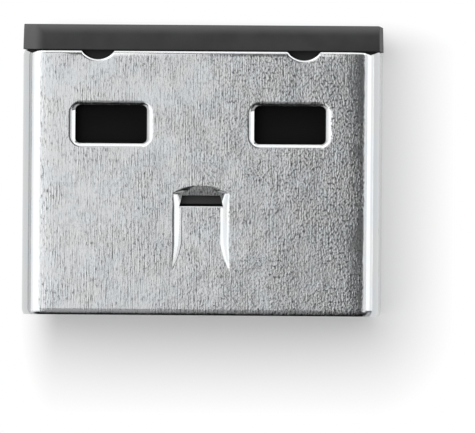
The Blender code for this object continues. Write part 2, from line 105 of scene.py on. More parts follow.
def newObject(name, shape):
    mesh = bpy.data.meshes.new(name)
    shape.to_mesh(mesh)
    shape.free()
    piece = bpy.data.objects.new(name, mesh)
    scene.collection.objects.link(piece)
    return piece


def loft(name, loops, ring=False):
    shape = bmesh.new()
    rows = [[shape.verts.new(point) for point in loop] for loop in loops]
    pairs = list(zip(rows, rows[1:]))
    if ring:
        pairs.append((rows[-1], rows[0]))
    else:
        shape.faces.new(rows[0])
        shape.faces.new(rows[-1])
    for near, far in pairs:
        for i in range(len(near)):
            k = (i + 1) % len(near)
            shape.faces.new((near[i], near[k], far[k], far[i]))
    bmesh.ops.recalc_face_normals(shape, faces=shape.faces)
    return newObject(name, shape)


def block(name, xs, ys, zs):
    corners = [(xs[0], ys[0]), (xs[1], ys[0]), (xs[1], ys[1]), (xs[0], ys[1])]
    return loft(name, [flat(corners, z) for z in zs])


def carve(piece, steps):  # steps are pairs of an operation and a tool, done in order and kept in the mesh
    for operation, tool in steps:
        modifier = piece.modifiers.new(tool.name, "BOOLEAN")
        modifier.operation = operation
        modifier.object = tool
    depsgraph = bpy.context.evaluated_depsgraph_get()
    mesh = bpy.data.meshes.new_from_object(piece.evaluated_get(depsgraph))
    piece.modifiers.clear()
    piece.data = mesh
    for operation, tool in steps:
        bpy.data.objects.remove(tool)


def shadeCrisp(piece, angle, flatWeight=80):  # smooth rounds beside true flats
    piece.data.shade_smooth()
    piece.data.set_sharp_from_angle(angle=math.radians(angle))
    weighted = piece.modifiers.new("flats", "WEIGHTED_NORMAL")
    weighted.keep_sharp = True
    weighted.weight = flatWeight


def dress(piece, material, node):  # finish, body and the CAD node that it stands for
    piece.data.materials.clear()
    piece.data.materials.append(material)
    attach(piece, "root")
    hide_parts(node)


softening = {
    "weld": 0.0001 * mm,
    "flatAngle": math.radians(1),
    "edgeAngle": math.radians(25),
    "segments": 3,
    "leastFace": 0.0005 * mm,  # a step as low as the round leaves no face
    "sharpAngle": 40,
}


def softened(cadNode, width, p=softening):  # a copy of a CAD node with its edges rounded
    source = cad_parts[cadNode]
    shape = bmesh.new()
    shape.from_mesh(source.data)
    shape.transform(source.matrix_world)
    bmesh.ops.remove_doubles(shape, verts=shape.verts, dist=p["weld"])
    bmesh.ops.dissolve_limit(shape, angle_limit=p["flatAngle"], verts=shape.verts, edges=shape.edges)
    edges = [edge for edge in shape.edges if edge.is_manifold and edge.calc_face_angle() > p["edgeAngle"]]
    bmesh.ops.bevel(shape, geom=edges, offset=width, segments=p["segments"], profile=0.5, affect="EDGES",
                    clamp_overlap=True)
    bmesh.ops.remove_doubles(shape, verts=shape.verts, dist=p["leastFace"])
    piece = newObject(cadNode + "_body", shape)
    shadeCrisp(piece, p["sharpAngle"])
    return piece


# Camera: looks down on the plug's broad face from far off, with the cap at the top

view = {
    "pixels": (475, 433),
    "pixelsPerMm": 29.86,
    "centrePixel": (200.1, 170.2),  # where the middle of the upper face falls
    "distance": 0.4,
    "leanRight": 2.4,  # degrees
    "roll": 0.42,
    "sensor": 36,
    "clip": (0.01, 10),
}


def makeCamera():
    target = Vector((0, 0, cadBox[1].z))
    back = Vector((math.tan(math.radians(view["leanRight"])), 0, 1)).normalized()
    up = Matrix.Rotation(math.radians(view["roll"]), 3, "Z") @ Vector((0, 1, 0))
    right = up.cross(back).normalized()
    up = back.cross(right).normalized()
    camera = bpy.data.objects.new("camera", bpy.data.cameras.new("camera"))
    scene.collection.objects.link(camera)
    camera.location = target + back * view["distance"]
    camera.rotation_mode = "QUATERNION"
    camera.rotation_quaternion = Matrix((right, up, back)).transposed().to_quaternion()
    wide, high = view["pixels"]
    camera.data.sensor_width = view["sensor"]
    camera.data.lens = view["sensor"] * view["distance"] / (wide / view["pixelsPerMm"] * mm)
    camera.data.shift_x = (wide / 2 - view["centrePixel"][0]) / wide
    camera.data.shift_y = (view["centrePixel"][1] - high / 2) / wide
    camera.data.clip_start, camera.data.clip_end = view["clip"]
    camera.data.dof.use_dof = False
    scene.camera = camera


makeCamera()
print("camera placed")


# Shader helpers

def newMaterial(name):  # the material, its tree and its shader
    material = bpy.data.materials.new(name)
    material.use_nodes = True
    tree = material.node_tree
    return material, tree, tree.nodes["Principled BSDF"]


def feed(tree, socket, value):
    if isinstance(value, bpy.types.NodeSocket):
        tree.links.new(value, socket)
    else:
        socket.default_value = value


def node(tree, kind, *values, **settings):  # values go to the first inputs in order
    made = tree.nodes.new("ShaderNode" + kind)
    for name, value in settings.items():
        setattr(made, name, value)
    for socket, value in zip(made.inputs, values):
        feed(tree, socket, value)
    return made


def calc(tree, operation, *values):  # more than two values are taken in turn
    made = node(tree, "Math", *values[:2], operation=operation).outputs[0]
    return calc(tree, operation, made, *values[2:]) if len(values) > 2 else made


def split(tree, vector):
    return node(tree, "SeparateXYZ", vector).outputs


def noise(tree, vector, scale=1.0, detail=2.0, rough=0.5):
    made = node(tree, "TexNoise")
    for name, value in (("Vector", vector), ("Scale", scale), ("Detail", detail), ("Roughness", rough)):
        feed(tree, made.inputs[name], value)
    return made.outputs[0]


def ramp(tree, value, low, high, lowOut=0.0, highOut=1.0):
    made = node(tree, "MapRange", value, low, high, lowOut, highOut, interpolation_type="SMOOTHSTEP")
    return made.outputs["Result"]


inputOf = {"colour": "Base Color", "roughness": "Roughness", "metallic": "Metallic",
           "specular": "Specular IOR Level"}


def paint(tree, shader, **values):
    for name, value in values.items():
        feed(tree, shader.inputs[inputOf[name]], value)


def given(shader, name):  # what already feeds one of its inputs
    return shader.inputs[inputOf[name]].links[0].from_socket


def blend(tree, factor, colourA, colourB):
    made = node(tree, "Mix", data_type="RGBA")
    sockets = [socket for socket in made.inputs if socket.enabled]
    for socket, value in zip(sockets, (factor, colourA, colourB)):
        feed(tree, socket, value)
    return [socket for socket in made.outputs if socket.enabled][0]


def shade(colour, amount=1):
    return (*[channel * amount for channel in colour], 1)


def bump(tree, shader, height, depth):
    made = node(tree, "Bump")
    made.inputs["Distance"].default_value = depth
    tree.links.new(height, made.inputs["Height"])
    tree.links.new(made.outputs[0], shader.inputs["Normal"])


def newGroup(name, inputs, outputs):
    group = bpy.data.node_groups.new(name, "ShaderNodeTree")
    for label, value in inputs:
        socket = group.interface.new_socket(label, in_out="INPUT", socket_type="NodeSocketFloat")
        socket.default_value = value
    for label in outputs:
        group.interface.new_socket(label, in_out="OUTPUT", socket_type="NodeSocketFloat")
    return group, group.nodes.new("NodeGroupInput").outputs, group.nodes.new("NodeGroupOutput").inputs


def use(tree, group, **values):  # places a group with its own values
    made = node(tree, "Group", node_tree=group)
    for name, value in values.items():
        made.inputs[name].default_value = value
    return made.outputs


def millimetres(tree):
    place = node(tree, "TexCoord").outputs["Object"]
    return node(tree, "VectorMath", place, [1 / mm] * 3, operation="MULTIPLY").outputs[0]


def normals(tree):
    return node(tree, "NewGeometry").outputs["Normal"]


def generated(tree):
    return node(tree, "TexCoord").outputs["Generated"]


# Grain of drawn and plated metal: streaks along the plug, with short pits between them. Sizes in mm

middling = (0.3, 0.7)  # between which most of a noise lies
grainInputs = (("Width", 0.05), ("Length", 0.6), ("Pit", 0.05), ("PitLength", 0.11), ("PitShare", 0.5))


def makeDrawnGrain():
    group, values, out = newGroup("drawnGrain", grainInputs, ("Height", "Streak", "Pits"))
    axes = split(group, millimetres(group))

    def stretched(width, length):
        scaled = [calc(group, "DIVIDE", axis, size) for axis, size in zip(axes, (width, length, width))]
        return noise(group, node(group, "CombineXYZ", *scaled).outputs[0], rough=0.6)

    streak = stretched(values["Width"], values["Length"])
    pits = stretched(values["Pit"], values["PitLength"])
    share = values["PitShare"]
    streaked = calc(group, "MULTIPLY", streak, calc(group, "SUBTRACT", 1.0, share))
    height = calc(group, "ADD", streaked, calc(group, "MULTIPLY", pits, share))
    for name, value in (("Height", height), ("Streak", streak), ("Pits", pits)):
        group.links.new(value, out[name])
    return group


drawnGrain = makeDrawnGrain()


# Skin of moulded plastic and fired ceramic: slow patches under a fine grain. Sizes in mm

skinInputs = (("Patch", 1.1), ("Grain", 0.033))


def makeMouldSkin():
    group, values, out = newGroup("mouldSkin", skinInputs, ("Tone", "Height"))
    place = millimetres(group)
    patch = noise(group, place, calc(group, "DIVIDE", 1.0, values["Patch"]), detail=3.0, rough=0.55)
    group.links.new(ramp(group, patch, *middling), out["Tone"])
    group.links.new(noise(group, place, calc(group, "DIVIDE", 1.0, values["Grain"])), out["Height"])
    return group


# Soldered ends of a small part, as a mask. Share is each end's part of the length, Turned is 1 along y

endBlur = 0.012  # of the length, where the solder ends


def makeSolderedEnds():
    group, values, out = newGroup("solderedEnds", (("Share", 0.24), ("Turned", 0.0)), ("Mask",))
    x, y, z = split(group, generated(group))
    turned = calc(group, "MULTIPLY", calc(group, "SUBTRACT", y, x), values["Turned"])
    away = calc(group, "ABSOLUTE", calc(group, "SUBTRACT", calc(group, "ADD", x, turned), 0.5))
    edge = calc(group, "ADD", calc(group, "SUBTRACT", away, 0.5), values["Share"])
    group.links.new(ramp(group, edge, -endBlur, endBlur), out["Mask"])
    return group


mouldSkin = makeMouldSkin()
solderedEnds = makeSolderedEnds()


patchy = {"tone": 0.12, "roughness": 0.05}  # how far a plastic's patches stray either way


def makePlastic(name, colour, roughness, patch=1.1, grain=0.033, depth=0.001):
    material, tree, shader = newMaterial(name)
    skin = use(tree, mouldSkin, Patch=patch, Grain=grain)
    darker, lighter = [shade(colour, 1 + side * patchy["tone"]) for side in (-1, 1)]
    limits = [roughness + side * patchy["roughness"] for side in (-1, 1)]
    paint(tree, shader, colour=blend(tree, skin["Tone"], darker, lighter),
          roughness=ramp(tree, skin["Tone"], 0, 1, *limits))
    bump(tree, shader, skin["Height"], depth * mm)
    return material, tree, shader


# Plug shell: rolled sheet with two windows on each broad face, a pressed tongue, two notches and a seam

plugShell = {
    "sheet": 0.3 * mm,
    "corner": 0.68 * mm,
    "ease": (0.5 * mm, 3),  # length and angle of the slow bend that leads into each corner
    "edgeSlope": 40,  # of every coined edge where it meets its cut
    "mouthLead": 0.22 * mm,
    "mouthSlope": 28,
    "rearLead": 0.2 * mm,
    "rearSlope": 28,
    "innerRoll": 0.04 * mm,
    "window": (2.41 * mm, 1.29 * mm),
    "windowCorner": 0.18 * mm,
    "windowRim": 0.23 * mm,
    "rimSquash": 0.7,  # the rim's share along the long sides
    "rearRim": 0.78,  # how much lower the rear side's rim is
    "rimSlope": 34,
    "rimRise": 1.6,
    "rimCorner": 0.47 * mm,
    "windowSpacing": 6.0 * mm,
    "windowFromMouth": 6.39 * mm,
    "tongueX": 0.04 * mm,
    "tongueWidth": 1.97 * mm,
    "tongueRoot": 1.5 * mm,
    "tongueLength": 2.175 * mm,
    "tongueDepth": 0.138 * mm,
    "tongueSide": 0.33 * mm,
    "tongueSpread": 0.05 * mm,
    "sideRound": 0.35,  # share of each side that rolls over before it runs straight
    "sideFoot": 0.4,  # share that eases towards the floor
    "footSlope": 0.55,  # share of its slope that a side still has where it meets the floor
    "fullSide": 0.84,  # share of the depth at which the sides have their whole width
    "leastSide": 0.1,  # share of that width where the ramp starts
    "rampCurve": 3.4,  # how soon the ramp levels out
    "rampSteps": 12,
    "slotWidth": 1.5 * mm,
    "slotLength": 0.345 * mm,
    "slotTaper": 0.11 * mm,
    "slotEdge": 0.07 * mm,
    "slotBack": 0.34 * mm,
    "slotBackDepth": 0.092 * mm,
    "dishCurve": 1.15,
    "dishSteps": 16,
    "notchSpacing": 6.91 * mm,
    "notchRadius": 0.68 * mm,
    "notchDepth": 0.3 * mm,
    "notchShoulder": 0.12 * mm,
    "notchRim": 0.1 * mm,
    "seamGap": 0.06 * mm,
    "dovetail": {"fromMouth": 3.6 * mm, "neck": 0.9 * mm, "head": 1.3 * mm, "reach": 0.8 * mm},
    "sharpAngle": 20,
    "acrossMm": (-6, 6),  # from the left side to the right, for all that changes between them
    "cool": (0.609, 0.629, 0.647),
    "warm": (0.625, 0.631, 0.635),
    "pit": (0.16, 0.16, 0.165),
    "tints": (1.1, 2.0, 0.5),  # scale, detail and roughness of the patches of either colour
    "tintLimits": (0.35, 0.65),
    "roughness": (0.1, 0.18),
    "streaked": {"Width": 0.045, "Length": 1.2, "Pit": 0.05, "PitLength": 0.2, "PitShare": 0.35},
    "pitted": {"Width": 0.06, "Length": 0.7, "Pit": 0.075, "PitLength": 0.09, "PitShare": 0.65},
    "grainDepth": 0.022 * mm,
    "burnished": ((0.985, 0.93), (0.998, 0.985)),  # how square a face is with no grain and with all of it
    "leadSlope": (-0.1, -0.3),  # the mouth's lead keeps its grain, where it faces forward
    "leadUp": (0.7, 0.85),  # and up
    "wear": (0.4, 0.7),  # how deep the grain is, from the left side to the right
    "wearPatches": (0.8, 3.0, 0.6),
    "patchWear": (0.35, 0.65, 0.5, 1.25),
    "pitting": (0.2, 2.0),  # how dark the pits are where the grain is shallow and deep
    "pitLimits": (0.5, 0.75),
    "sidePits": 0.25,  # how dark they are on the narrow sides
    "topLimits": (0.5, 0.9),
}
past = 0.3 * mm  # how far a tool runs past the wall that it cuts
rimSteps = 12  # of each corner of a window or notch


def quarter(radius, steps):  # a quarter round, as pairs of what is left to go along its start and its end
    angles = [math.pi / 2 * step / steps for step in range(steps + 1)]
    return [(radius * (1 - math.sin(angle)), radius * (1 - math.cos(angle))) for angle in angles]


def coined(width, slope, steps=8):  # rounded edge from its cut to the flat, as pairs of run and drop
    full = math.radians(slope)
    radius = width / math.sin(full)
    angles = [full * (1 - step / steps) for step in range(steps + 1)]
    return [(width - radius * math.sin(angle), radius * (1 - math.cos(angle))) for angle in angles]


def rolled(width, slope, rise, steps=12):  # the same for a rim that is steep sooner
    steep = math.tan(math.radians(slope))
    pairs = []
    for step in range(steps + 1):
        share = 1 - step / steps
        drop = share - (1 - (1 - share) ** (rise + 1)) / (rise + 1)
        pairs.append((width * (1 - share), width * steep * drop))
    return pairs


def sheetTube(width, height, mouthY, length, p):
    loops = []

    def ring(inset, t):
        profile = easedRect(width - 2 * inset, height - 2 * inset, p["corner"] - inset, *p["ease"])
        loops.append(across(profile, mouthY + t, height / 2))

    inner, wall = p["innerRoll"], p["sheet"]
    for run, drop in coined(p["mouthLead"], p["mouthSlope"]):
        ring(drop, run)
    for run, drop in coined(p["rearLead"], p["rearSlope"])[::-1]:
        ring(drop, length - run)
    for ahead, behind in quarter(inner, 5):
        ring(wall - ahead, length - behind)
    for ahead, behind in quarter(inner, 5):
        ring(wall - behind, ahead)
    return loft("plug_sheet", loops, ring=True)


def flaredTool(name, outline, outer, inner, edge, shares, x, y):  # coins the wall's outer edge as it cuts
    way = 1 if outer > inner else -1
    loops = [flat(outline(0), inner - way * past, x, y)]
    for run, drop in edge:
        level = flat(outline(run), outer, x, y)
        for i, point in enumerate(level):
            point.z -= way * drop * (shares[i] if shares else 1)
        loops.append(level)
    loops.append(flat(outline(edge[-1][0]), outer + way * past, x, y))
    return loft(name, loops)


def pressLoop(y, depth, half, side, face, reach, p, steps=20):  # its sides roll over and run to a floor
    bend, foot, eased = p["sideRound"], p["sideFoot"], 1 - p["footSlope"]
    right = [(half, face + reach)]
    whole = 1 - bend * 2 / 3 - foot * eased / 2
    for step in range(steps + 1):
        share = step / steps
        bent, ended = min(share, bend), max(share - 1 + foot, 0)
        sink = bent**3 / (3 * bend**2) + share - bent - ended**2 * eased / (2 * foot)
        right.append((half - side * share, face - depth * sink / whole))
    right.append((half - side - p["sheet"] / 20, face - depth))  # keeps the floor's shading flat
    middle = p["tongueX"]
    return across([(middle - x, z) for x, z in right] + [(middle + x, z) for x, z in right[::-1]], y)


def tongueTools(height, mouthY, p):
    half, depth, back = p["tongueWidth"] / 2, p["tongueDepth"], p["slotBack"]
    rootY = mouthY + p["tongueRoot"]
    endY = rootY + p["tongueLength"]
    slotY = endY + p["slotLength"]
    stations = []
    for step in range(-1, p["rampSteps"] + 1):  # the ramp levels out towards its free end
        share = step / p["rampSteps"]
        sink = depth * (1 - (1 - share) ** p["rampCurve"])
        fullness = min(max(sink / (p["fullSide"] * depth), p["leastSide"]), 1.0)
        stations.append((rootY + p["tongueLength"] * share, sink, half, p["tongueSide"] * fullness))
    for step in range(p["dishSteps"]):  # behind the slot the edge is dished
        share = step / p["dishSteps"]
        wide = half * math.sqrt(1 - share**2)
        sink = p["slotBackDepth"] * (1 - share) ** p["dishCurve"]
        side = max(p["tongueSide"] * sink / depth, wide * min(share, 0.5))
        stations.append((slotY + back * share, sink, wide, side))
    stations.append((slotY + back, -p["slotBackDepth"] / 10, half / 5, half / 10))
    boreTop = height - p["sheet"]
    spread, into = p["tongueSpread"], p["sheet"] / 2
    under = [pressLoop(y, sink, wide + spread, side, boreTop, into, p) for y, sink, wide, side in stations]
    hollow = [pressLoop(y, sink, wide, side, height, past, p) for y, sink, wide, side in stations]

    def slotLoop(z, edge):
        wide, rear = p["slotWidth"] / 2, p["slotWidth"] / 2 - p["slotTaper"]
        outline = [(-wide, endY - edge), (wide, endY - edge), (rear, slotY), (-rear, slotY)]
        return flat(outline, z, p["tongueX"])

    slot = [slotLoop(boreTop - depth - past, 0)]
    for drop, edge in quarter(p["slotEdge"], 7):
        slot.append(slotLoop(height - depth - drop, edge))
    slot.append(slotLoop(height + past, p["slotEdge"]))
    return [("UNION", loft("tongueUnderside", under)), ("DIFFERENCE", loft("tongueHollow", hollow)),
            ("DIFFERENCE", loft("tongueSlot", slot))]


def seamTool(mouthY, length, p):  # the hairline where the sheet's two edges meet, with one dovetail
    d, half = p["dovetail"], p["seamGap"] / 2
    middle = mouthY + d["fromMouth"]
    path = [(0, mouthY - past), (0, middle - d["neck"] / 2), (d["reach"], middle - d["head"] / 2),
            (d["reach"], middle + d["head"] / 2), (0, middle + d["neck"] / 2), (0, mouthY + length + past)]
    points = [Vector(point) for point in path]
    left, right = [], []
    for i, point in enumerate(points):
        before = (point - points[max(i - 1, 0)]).normalized()
        after = (points[min(i + 1, len(points) - 1)] - point).normalized()
        along = (before + after).normalized()
        normal = Vector((-along.y, along.x))
        run = after if after.length else before
        offset = normal * (half / normal.dot(Vector((-run.y, run.x))))
        left.append(point + offset)
        right.append(point - offset)
    outline = left + right[::-1]
    return loft("seam", [flat(outline, z) for z in (-past, p["sheet"] + past)])


def makeShell(p):
    lower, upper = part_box("plug_shell")
    width, length, height = upper - lower
    mouthY = lower.y
    shell = sheetTube(width, height, mouthY, length, p)
    work = tongueTools(height, mouthY, p)

    def windowOutline(grow):
        corner = p["windowCorner"] + (p["rimCorner"] - p["windowCorner"]) * grow / p["windowRim"]
        wide, high = p["window"][0] + 2 * grow, p["window"][1] + 2 * grow * p["rimSquash"]
        return roundedRect(wide, high, corner, rimSteps)

    def notchOutline(grow):
        radius, shoulder = p["notchRadius"], p["notchShoulder"]
        middle = radius - p["notchDepth"]
        aside = math.sqrt((radius + shoulder) ** 2 - (shoulder + middle) ** 2)
        turn = math.degrees(math.atan2(shoulder + middle, aside))
        left = arc((-aside, -shoulder), shoulder - grow, 90, turn, rimSteps)
        bottom = arc((0, middle), radius + grow, 180 + turn, 360 - turn, 2 * rimSteps)
        right = arc((aside, -shoulder), shoulder - grow, 180 - turn, 90, rimSteps)
        return [(-aside, past), *left, *bottom, *right, (aside, past)]

    shares = []
    for u, v in roundedRect(2, 2, 1, rimSteps):
        shares.append(1 - (1 - p["rimSquash"] * (p["rearRim"] if v > 0 else 1)) * v**2)
    rim, edge = rolled(p["windowRim"], p["rimSlope"], p["rimRise"]), coined(p["notchRim"], p["edgeSlope"])
    for side in (-1, 1):
        x, y = side * p["windowSpacing"] / 2, mouthY + p["windowFromMouth"]
        for outer, inner in ((height, height - p["sheet"]), (0, p["sheet"])):
            window = flaredTool("window", windowOutline, outer, inner, rim, shares, x, y)
            work.append(("DIFFERENCE", window))
        x, y = side * p["notchSpacing"] / 2, mouthY + length
        notch = flaredTool("notch", notchOutline, height, height - p["sheet"], edge, None, x, y)
        work.append(("DIFFERENCE", notch))
    work.append(("DIFFERENCE", seamTool(mouthY, length, p)))
    carve(shell, work)
    shadeCrisp(shell, p["sharpAngle"])
    return shell


def makeSteel(p):
    material, tree, shader = newMaterial("platedSteel")
    place = millimetres(tree)
    x = split(tree, place)[0]
    toRight = ramp(tree, x, *p["acrossMm"])
    left, right = use(tree, drawnGrain, **p["streaked"]), use(tree, drawnGrain, **p["pitted"])
    grain = {}
    for name in ("Height", "Streak", "Pits"):
        grain[name] = node(tree, "MapRange", toRight, 0, 1, left[name], right[name]).outputs["Result"]
    patch = noise(tree, place, *p["wearPatches"])
    wearAndPaintedLight = ramp(tree, x, *p["acrossMm"], *p["wear"])
    wearAndPaintedLight = calc(tree, "MULTIPLY", wearAndPaintedLight, ramp(tree, patch, *p["patchWear"]))
    normal = normals(tree)
    facing = split(tree, node(tree, "VectorMath", normal, operation="ABSOLUTE").outputs[0])
    square = calc(tree, "MAXIMUM", *facing)
    toMouth = ramp(tree, split(tree, normal)[1], *p["leadSlope"])
    toMouth = calc(tree, "MULTIPLY", toMouth, ramp(tree, facing[2], *p["leadUp"]))
    limits = [ramp(tree, x, *p["acrossMm"], *pair) for pair in p["burnished"]]
    rough = calc(tree, "MAXIMUM", ramp(tree, square, *limits), toMouth)
    wearAndPaintedLight = calc(tree, "MULTIPLY", wearAndPaintedLight, rough)
    bump(tree, shader, calc(tree, "MULTIPLY", grain["Height"], wearAndPaintedLight), p["grainDepth"])
    tint = ramp(tree, noise(tree, place, *p["tints"]), *p["tintLimits"])
    sheet = blend(tree, tint, shade(p["cool"]), shade(p["warm"]))
    pits, dark = ramp(tree, grain["Pits"], *p["pitLimits"]), ramp(tree, wearAndPaintedLight, 0, 1, *p["pitting"])
    topFace = ramp(tree, facing[2], *p["topLimits"], p["sidePits"], 1)
    pits = calc(tree, "MULTIPLY", dark, pits, rough, topFace)
    paint(tree, shader, colour=blend(tree, pits, sheet, shade(p["pit"])), metallic=1.0,
          roughness=ramp(tree, grain["Streak"], *middling, *p["roughness"]))
    return material


plugSheet = makeShell(plugShell)
dress(plugSheet, makeSteel(plugShell), "plug_shell")
print("shell made:", len(plugSheet.data.polygons), "faces")


# End cap: a slim moulding with a spigot in the shell, two keys in its notches and room for the antenna

endCap = {
    "thickness": 0.85 * mm,
    "corner": 0.04 * mm,
    "leftGap": 0.04 * mm,  # how far it stays inside the shell's left side
    "draft": 0.02 * mm,
    "crown": 0.12 * mm,
    "edge": 0.025 * mm,
    "endWall": 0.4 * mm,
    "roof": 0.45 * mm,
    "spigotClearance": 0.03 * mm,
    "keyDrop": 0.22 * mm,
    "keyClearance": 0.03 * mm,
    "pocketWidth": 9.66 * mm,
    "pocketGap": 0.02 * mm,  # under the board
    "colour": (0.042, 0.042, 0.0422),
    # colour of the painted highlight on its rounded ends and sides
    "paintedLight": (0.125, 0.125, 0.126),
    "endHighlight": (0.36, 0.75),  # mm from the end, and how much painted highlight
    "leftHighlight": (-5.22, -5.62, 0.9),  # mm across, from and to, and how much painted highlight at the left end
    # how much painted highlight on the right side
    "sideHighlight": 0.8,
    "shaded": (0.023, 0.023, 0.023),
    "shadeFrom": (0.03, -0.01),  # mm behind the face that the keys stand on, over which the painted shade comes in
    "sideLimits": (0.6, 0.95),
    "endLimits": (0.9, 0.6),
    "roughness": 0.34,
    "matt": 0.8,  # roughness of the keys and the right side
    "specular": 0.15,
    "sharpAngle": 30,
    "sideSteps": 16,
}


def makeEndCap(p, s):
    lower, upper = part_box("end_cap")
    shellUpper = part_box("plug_shell")[1]
    width, height = upper.x - lower.x, upper.z - lower.z
    faceY, endY = upper.y - p["thickness"], upper.y
    loops = []

    def ring(inset, y):
        share = (y - faceY) / p["thickness"]
        wide = width - 2 * (p["draft"] * share + inset)
        high = height - 2 * (p["crown"] * share**3 + inset)
        profile = roundedRect(wide - p["leftGap"], high, p["corner"] - inset, 12)
        loops.append(across([(u + p["leftGap"] / 2, v) for u, v in profile], y, height / 2))

    small, edge = p["edge"] / 2, p["edge"]
    for inset, behind in quarter(small, 4):
        ring(inset, faceY + behind)
    for step in range(1, p["sideSteps"]):
        ring(0, faceY + small + (p["thickness"] - edge - small) * step / p["sideSteps"])
    for ahead, inset in quarter(edge, 6):
        ring(inset, endY - ahead)
    cap = loft("cap_moulding", loops)

    boreTop = height - s["sheet"]
    inside = 2 * (s["sheet"] + p["spigotClearance"])
    bore = roundedRect(width - inside, height - inside, s["corner"] - s["sheet"])
    spigotEnds = (lower.y, faceY + p["thickness"] / 2)
    work = [("UNION", loft("spigot", [across(bore, y, height / 2) for y in spigotEnds]))]
    radius, middle = s["notchRadius"] - p["keyClearance"], s["notchRadius"] - s["notchDepth"]
    start = math.degrees(math.asin((faceY - shellUpper.y + edge - middle) / radius))
    keyOutline = arc((0, middle), radius, 180 - start, 360 + start, 30)
    for side in (-1, 1):
        x, levels = side * s["notchSpacing"] / 2, (boreTop - p["roof"], height - p["keyDrop"])
        work.append(("UNION", loft("key", [flat(keyOutline, z, x, shellUpper.y) for z in levels])))
    half, pocketLow = p["pocketWidth"] / 2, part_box("circuit_board")[0].z - p["pocketGap"]
    work.append(("DIFFERENCE", block("tailPocket", (-half, half), (lower.y - past, endY - p["endWall"]),
                                     (pocketLow, boreTop - p["roof"]))))
    carve(cap, work)
    shadeCrisp(cap, p["sharpAngle"])
    return cap


def makeCapPlastic(p):  # painted highlight along its upper end, at its left end and on its right side, with painted shade on its keys
    material, tree, shader = makePlastic("capPlastic", p["colour"], p["roughness"])
    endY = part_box("end_cap")[1].y / mm
    faceY = endY - p["thickness"] / mm
    x, y, z = split(tree, millimetres(tree))
    facing = split(tree, normals(tree))
    rightSide = ramp(tree, facing[0], *p["sideLimits"])
    reach, most = p["endHighlight"]
    near, far, leftMost = p["leftHighlight"]
    # painted highlight: a lighter colour along its upper end and at its left end, then on its right side
    paintedHighlight = calc(tree, "MAXIMUM", ramp(tree, y, endY - reach, endY, 0.0, most),
                   ramp(tree, x, near, far, 0.0, leftMost))
    notEnd = ramp(tree, facing[1], *p["endLimits"])  # the painted highlight stays off the end face
    paintedHighlight = calc(tree, "MULTIPLY", paintedHighlight, notEnd)
    paintedHighlight = calc(tree, "MAXIMUM", paintedHighlight, calc(tree, "MULTIPLY", rightSide, p["sideHighlight"]))
    satin = given(shader, "roughness")
    light = blend(tree, paintedHighlight, given(shader, "colour"), shade(p["paintedLight"]))
    # painted shade on the keys and on all that stands before the cap's face, made matt
    inside = ramp(tree, y, *[faceY + behind for behind in p["shadeFrom"]])
    matt = calc(tree, "MULTIPLY", calc(tree, "MAXIMUM", inside, rightSide), p["matt"])
    paint(tree, shader, colour=blend(tree, inside, light, shade(p["shaded"])),
          roughness=calc(tree, "MAXIMUM", satin, matt), specular=p["specular"])
    return material


capMoulding = makeEndCap(endCap, plugShell)
dress(capMoulding, makeCapPlastic(endCap), "end_cap")
print("cap made:", len(capMoulding.data.polygons), "faces")


# Core: a tray over the board, with a nose before it and room below the shell's openings

coreTray = {
    "nose": 0.55 * mm,
    "chamfer": 0.35 * mm,
    "round": 0.07 * mm,
    "ledge": 0.4 * mm,
    "partRoom": 0.8 * mm,
    "gap": 0.02 * mm,
    "relief": 0.05 * mm,  # round and under the pressed tongue
    "lugGap": 0.06 * mm,  # before the lug
    "lugClearance": 0.012 * mm,  # at its sides and back
    "lugDrop": 0.08 * mm,
    "lugEdge": 0.02 * mm,
    "pocketDepth": 0.4 * mm,
    "pocketMargin": 0.2 * mm,
    # nearly black, darker than the plastic itself: painted shade in its pockets and the gaps that show
    # through the shell
    "colour": (0.003, 0.003, 0.003),
    # colour of the painted light on the lug's top and on the nose
    "paintedLight": (0.055, 0.055, 0.055),
    "lugPlace": (0.04, -1.06, 4.1),  # mm, middle of the painted light on the locking lug
    "lugReach": (0.9, 0.8),  # mm from there
    "lugTop": (4.04, 4.09),  # mm, so that the painted light stays on its top and the gap around it stays dark
    "noseReach": (0.9, 0.1),  # mm from its end, over which light is painted on it
    # how much painted light on the nose
    "noseLight": 0.5,
    "roughness": 0.45,
    "specular": 0.1,
    "sharpAngle": 30,
}


def filleted(corners, radius, steps=5):  # a path with its corners rounded
    points = []
    for i, corner in enumerate(corners):
        here = Vector(corner)
        before, after = Vector(corners[i - 1]) - here, Vector(corners[(i + 1) % len(corners)]) - here
        reach = radius / math.tan(before.angle(after) / 2)
        start, end = here + before.normalized() * reach, here + after.normalized() * reach
        for step in range(steps + 1):
            share = step / steps
            points.append(start * (1 - share) ** 2 + here * 2 * share * (1 - share) + end * share**2)
    return points


